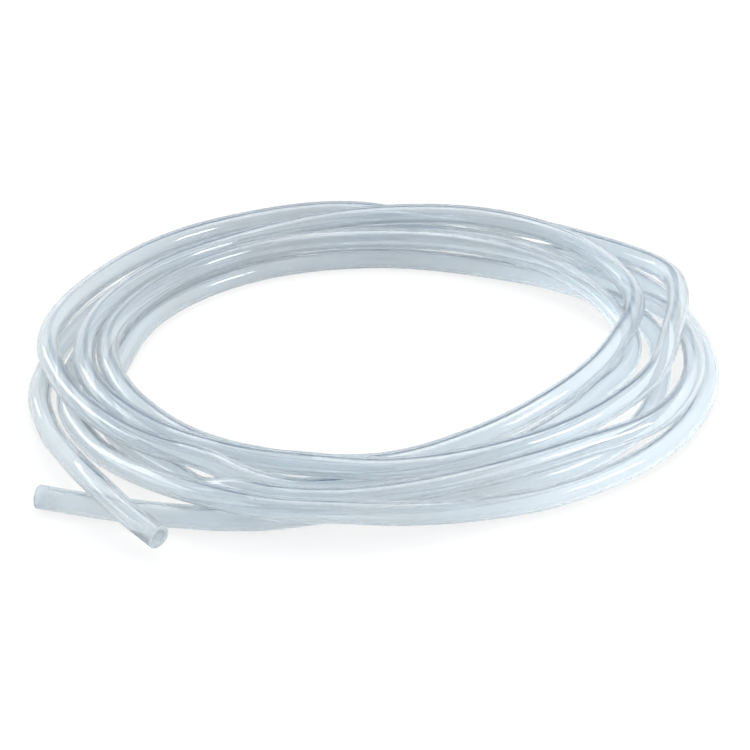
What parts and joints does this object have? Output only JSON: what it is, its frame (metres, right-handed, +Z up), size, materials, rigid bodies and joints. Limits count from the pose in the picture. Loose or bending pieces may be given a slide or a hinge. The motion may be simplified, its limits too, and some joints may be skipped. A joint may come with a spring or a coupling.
{
  "type": "coil of silicone tubing",
  "caption": "Coil of clear soft silicone laboratory tubing, 9 mm outside and 6 mm bore, both ends cut square and open.",
  "frame": {"origin": "on the floor under the middle of the coil with its two tails", "axes": "+Z up from the floor the coil lies on, +Y from the front with the two open ends to the back, +X to the right"},
  "size_m": [0.2778, 0.2915, 0.0257],
  "materials": {
    "clear_silicone": "clear soft silicone with a faint blue tint, glossy where taut, faintly frosted by handling"
  },
  "bodies": {
    "root": {"tubing": "clear_silicone"}
  },
  "joints": []
}
